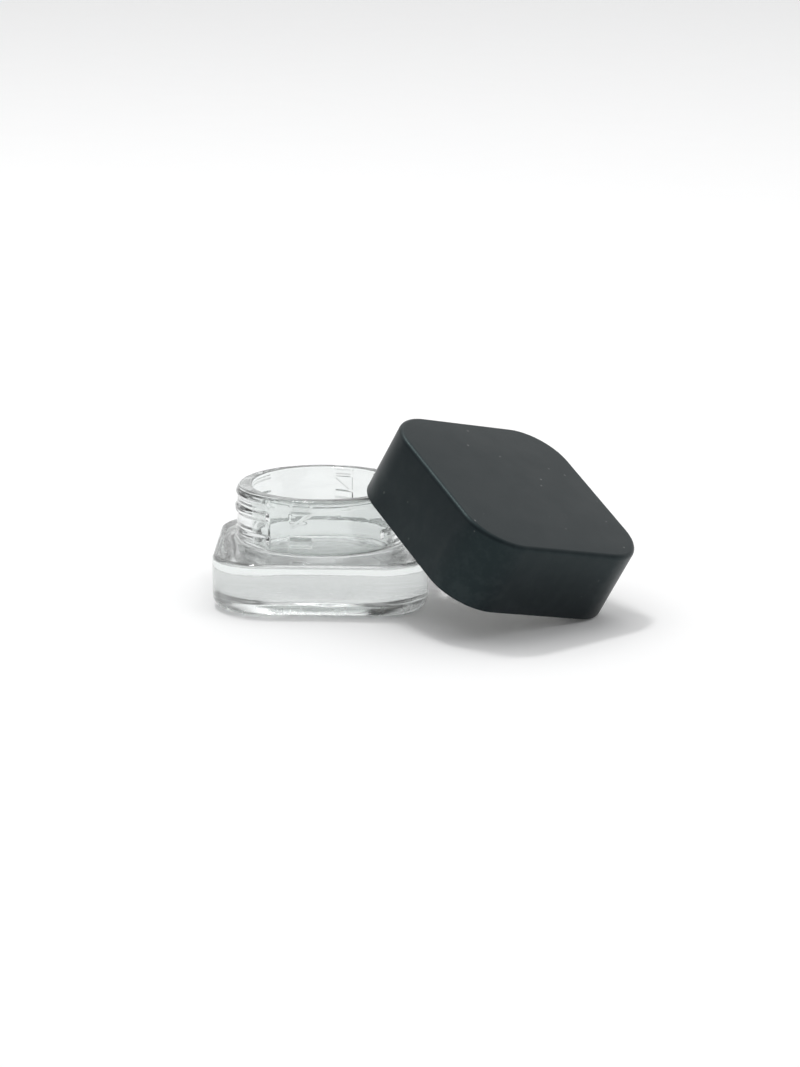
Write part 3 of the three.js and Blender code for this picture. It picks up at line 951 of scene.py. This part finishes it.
def make_camera():
    azimuth, elevation = math.radians(VIEW_AZIMUTH), math.radians(VIEW_ELEVATION)
    away = Vector((math.sin(azimuth) * math.cos(elevation),
                   -math.cos(azimuth) * math.cos(elevation), math.sin(elevation)))
    data = bpy.data.cameras.new("camera")
    data.lens = LENS
    data.sensor_width = 36.0
    data.clip_start = 0.01
    camera = bpy.data.objects.new("camera", data)
    bpy.context.scene.collection.objects.link(camera)
    camera.location = VIEW_TARGET + away * VIEW_DISTANCE
    straight = (-away).to_track_quat("-Z", "Y").to_matrix().to_4x4()
    per_height = data.sensor_width / LENS  # the frame's long side at a distance of one
    across = TARGET_OFF_CENTRE[0] * per_height * FRAME_SHAPE
    down = TARGET_OFF_CENTRE[1] * per_height
    aim = Matrix.Rotation(math.atan(across), 4, "Y") @ Matrix.Rotation(math.atan(down), 4, "X")
    camera.matrix_world = Matrix.Translation(camera.location) @ straight @ aim
    bpy.context.scene.camera = camera


def make_floor():
    bm = bmesh.new()
    bmesh.ops.create_grid(bm, x_segments=1, y_segments=1, size=4.0)
    mesh = bpy.data.meshes.new("floor")
    bm.to_mesh(mesh)
    bm.free()
    material, tree, shader = new_material("pale paper")
    where = object_space(tree)
    tone = mixed(tree, noise_value(tree, where, 60.0, 3.0), (0.95, 0.95, 0.95),
                 (0.965, 0.965, 0.965))
    tree.links.new(tone, shader.inputs["Base Color"])
    shader.inputs["Roughness"].default_value = 0.9
    shader.inputs["Specular IOR Level"].default_value = 0.1
    mesh.materials.append(material)
    floor = bpy.data.objects.new("floor", mesh)
    floor.location.z = -0.0002
    bpy.context.scene.collection.objects.link(floor)


def area_light(name, place, aim, size, power):
    data = bpy.data.lights.new(name, "AREA")
    data.shape = "RECTANGLE"
    data.size, data.size_y = size
    data.energy = power
    light = bpy.data.objects.new(name, data)
    light.location = place
    direction = Vector(aim) - Vector(place)
    light.rotation_euler = direction.to_track_quat("-Z", "Y").to_euler()
    bpy.context.scene.collection.objects.link(light)


ROOM_SIDE_LIGHT = 0.45  # how bright the room is towards the front and the left
ROOM_BACK_LIGHT = 0.82  # and towards the back and overhead
ROOM_BRIGHT_WAY = (0.15, 0.80, 0.50)


def make_light():
    """A pale room, brighter behind and overhead than in front, with two soft boxes."""
    world = bpy.data.worlds.new("pale room")
    bpy.context.scene.world = world
    world.use_nodes = True
    tree = world.node_tree
    background = tree.nodes["Background"]
    towards = tree.nodes.new("ShaderNodeVectorMath")
    towards.operation = "DOT_PRODUCT"
    tree.links.new(tree.nodes.new("ShaderNodeTexCoord").outputs["Generated"], towards.inputs[0])
    towards.inputs[1].default_value = ROOM_BRIGHT_WAY
    share = remap(tree, towards.outputs["Value"], -0.1, 0.7)
    side = (ROOM_SIDE_LIGHT, ROOM_SIDE_LIGHT * 1.01, ROOM_SIDE_LIGHT * 1.02)
    back = (ROOM_BACK_LIGHT, ROOM_BACK_LIGHT, ROOM_BACK_LIGHT)
    tree.links.new(mixed(tree, share, side, back), background.inputs["Color"])
    background.inputs["Strength"].default_value = 1.0
    area_light("overhead box", (-0.1, 0.2, 1.6), (0.0, 0, 0), (2.4, 2.4), 10.6)
    area_light("glint box", (-0.17, 0.17, 0.86), (0, 0, 0.015), (0.16, 0.10), 1.9)


# Assembly --------------------------------------------------------------------------------


def seat(piece, body, node):
    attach(piece, body)
    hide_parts(node)


def main():
    make_camera()
    make_floor()
    make_light()
    seat(make_jar(clear_glass()), "jar", "glass_jar")
    seat(make_shell(satin_black()), "cap_shell", "outer_shell")
    seat(make_insert(insert_black()), "cap_insert", "inner_cap")
    seat(make_liner(white_foam()), "cap_insert", "liner")
    spring = make_spring(natural_spring())
    seat(spring, "cap_spring", "spring_disc")
    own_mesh(spring)
    bpy.context.scene.view_settings.view_transform = "Standard"


main()
